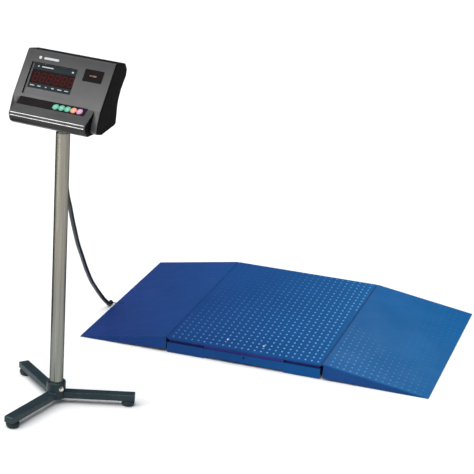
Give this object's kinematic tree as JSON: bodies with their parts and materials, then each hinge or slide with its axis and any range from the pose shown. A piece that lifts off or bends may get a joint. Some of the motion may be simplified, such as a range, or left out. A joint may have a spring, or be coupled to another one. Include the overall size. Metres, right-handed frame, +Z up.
{
  "type": "pallet scale",
  "caption": "Low floor scale with a flat weighing deck, a hinged access ramp at each end, and a digital indicator on a pillar stand joined to it by a hose.",
  "frame": {"origin": "On the floor, under the middle of the whole object's bounding box.", "axes": "+X is the way a pallet truck drives over, from the left ramp to the right ramp. +Y runs from the stand's side to the far side of the deck. +Z is up."},
  "size_m": [1.8925, 2.3286, 1.6298],
  "materials": {
    "blue_paint": "semi-gloss powder coat",
    "nickel_plate": "nickel plated",
    "black_plastic": "moulded, matt",
    "fork_paint": "black paint",
    "base_paint": "dark semi-gloss paint",
    "black_rubber": "smooth black rubber",
    "pillar_steel": "polished along its length",
    "bright_steel": "bright plated",
    "case_front": "metallic grey, satin",
    "case_rear": "black, satin",
    "display_lens": "dark, glossy",
    "circuit_board": "solder mask",
    "green_key": "satin",
    "orange_key": "satin",
    "pink_key": "satin"
  },
  "bodies": {
    "deck_and_stand": {"deck_plate": "blue_paint", "front_side_rail": "blue_paint", "rear_side_rail": "blue_paint", "front_stiffener": "blue_paint", "rear_stiffener": "blue_paint", "left_end_rail": "blue_paint", "right_end_rail": "blue_paint", "left_hinge_rod": "blue_paint", "right_hinge_rod": "blue_paint", "corner_box_front_left": "blue_paint", "corner_box_front_right": "blue_paint", "corner_box_rear_left": "blue_paint", "corner_box_rear_right": "blue_paint", "load_cell_front_left": "nickel_plate", "load_cell_front_right": "nickel_plate", "load_cell_rear_left": "nickel_plate", "load_cell_rear_right": "nickel_plate", "junction_box": "black_plastic", "junction_gland": "black_plastic", "base_hub": "base_paint", "base_leg_right": "base_paint", "base_leg_front": "base_paint", "base_leg_rear": "base_paint", "rubber_foot_right": "black_rubber", "rubber_foot_front": "black_rubber", "rubber_foot_rear": "black_rubber", "pillar_tube": "pillar_steel", "pillar_cap": "black_plastic", "pillar_gland": "black_plastic", "signal_hose": "black_rubber", "hose_ferrule": "black_plastic", "ramp_lead": "black_rubber"},
    "left_ramp": {"left_ramp_plate": "blue_paint", "left_ramp_front_side": "blue_paint", "left_ramp_rear_side": "blue_paint"},
    "right_ramp": {"right_ramp_plate": "blue_paint", "right_ramp_front_side": "blue_paint", "right_ramp_rear_side": "blue_paint"},
    "swivel": {"swivel_fork": "fork_paint", "pivot_bolt": "bright_steel"},
    "head": {"head_mount": "fork_paint", "front_case": "case_front", "rear_case": "case_rear", "display_panel": "case_front", "display_window": "display_lens", "display_board": "black_plastic", "key_strip": "black_plastic", "main_board": "circuit_board", "power_inlet": "black_plastic"},
    "power_rocker": {"power_switch": "black_plastic"},
    "pillar_clamp": {"clamp_bolt": "bright_steel"},
    "button_1": {"key_1": "green_key"},
    "button_2": {"key_2": "green_key"},
    "button_3": {"key_3": "green_key"},
    "button_4": {"key_4": "orange_key"},
    "button_5": {"key_5": "pink_key"},
    "foot_front_left": {"levelling_foot_front_left": "nickel_plate"},
    "foot_front_right": {"levelling_foot_front_right": "nickel_plate"},
    "foot_rear_left": {"levelling_foot_rear_left": "nickel_plate"},
    "foot_rear_right": {"levelling_foot_rear_right": "nickel_plate"}
  },
  "joints": [
    {"name": "left_ramp_lift", "type": "hinge", "parent": "deck_and_stand", "child": "left_ramp", "pos_m": [-0.3878, 0.5643, 0.08], "axis": [0, 1, 0], "range_deg": [0, 90]},
    {"name": "right_ramp_lift", "type": "hinge", "parent": "deck_and_stand", "child": "right_ramp", "pos_m": [0.4122, 0.5643, 0.08], "axis": [0, -1, 0], "range_deg": [0, 90]},
    {"name": "head_swivel", "type": "hinge", "parent": "deck_and_stand", "child": "swivel", "pos_m": [-0.6588, -0.8017, 1.2988], "axis": [0, 0, 1], "range_deg": [-60, 60]},
    {"name": "head_tilt", "type": "hinge", "parent": "swivel", "child": "head", "pos_m": [-0.6588, -0.8017, 1.3145], "axis": [0.9848, -0.1736, 0], "range_deg": [-20, 15]},
    {"name": "power_rocker_turn", "type": "hinge", "parent": "head", "child": "power_rocker", "pos_m": [-0.58752, -0.74296, 1.40391], "axis": [-0.9848, 0.1736, 0], "range_deg": [0, 14]},
    {"name": "clamp_bolt_turn", "type": "hinge", "parent": "deck_and_stand", "child": "pillar_clamp", "pos_m": [-0.62326, -0.82848, 0.08], "axis": [0.7986, -0.6018, 0], "continuous": true},
    {"name": "key_1_press", "type": "slide", "parent": "head", "child": "button_1", "axis": [0.1004, 0.5695, -0.8158], "range_m": [0, 0.0012], "stiffness_N_per_m": 600},
    {"name": "key_2_press", "type": "slide", "parent": "head", "child": "button_2", "axis": [0.1004, 0.5695, -0.8158], "range_m": [0, 0.0012], "stiffness_N_per_m": 600},
    {"name": "key_3_press", "type": "slide", "parent": "head", "child": "button_3", "axis": [0.1004, 0.5695, -0.8158], "range_m": [0, 0.0012], "stiffness_N_per_m": 600},
    {"name": "key_4_press", "type": "slide", "parent": "head", "child": "button_4", "axis": [0.1004, 0.5695, -0.8158], "range_m": [0, 0.0012], "stiffness_N_per_m": 600},
    {"name": "key_5_press", "type": "slide", "parent": "head", "child": "button_5", "axis": [0.1004, 0.5695, -0.8158], "range_m": [0, 0.0012], "stiffness_N_per_m": 600},
    {"name": "foot_front_left_turn", "type": "hinge", "parent": "deck_and_stand", "child": "foot_front_left", "pos_m": [-0.3328, 0.0453, 0], "axis": [0, 0, 1], "continuous": true},
    {"name": "foot_front_right_turn", "type": "hinge", "parent": "deck_and_stand", "child": "foot_front_right", "pos_m": [0.3572, 0.0453, 0], "axis": [0, 0, 1], "continuous": true},
    {"name": "foot_rear_left_turn", "type": "hinge", "parent": "deck_and_stand", "child": "foot_rear_left", "pos_m": [-0.3328, 1.0833, 0], "axis": [0, 0, 1], "continuous": true},
    {"name": "foot_rear_right_turn", "type": "hinge", "parent": "deck_and_stand", "child": "foot_rear_right", "pos_m": [0.3572, 1.0833, 0], "axis": [0, 0, 1], "continuous": true}
  ]
}
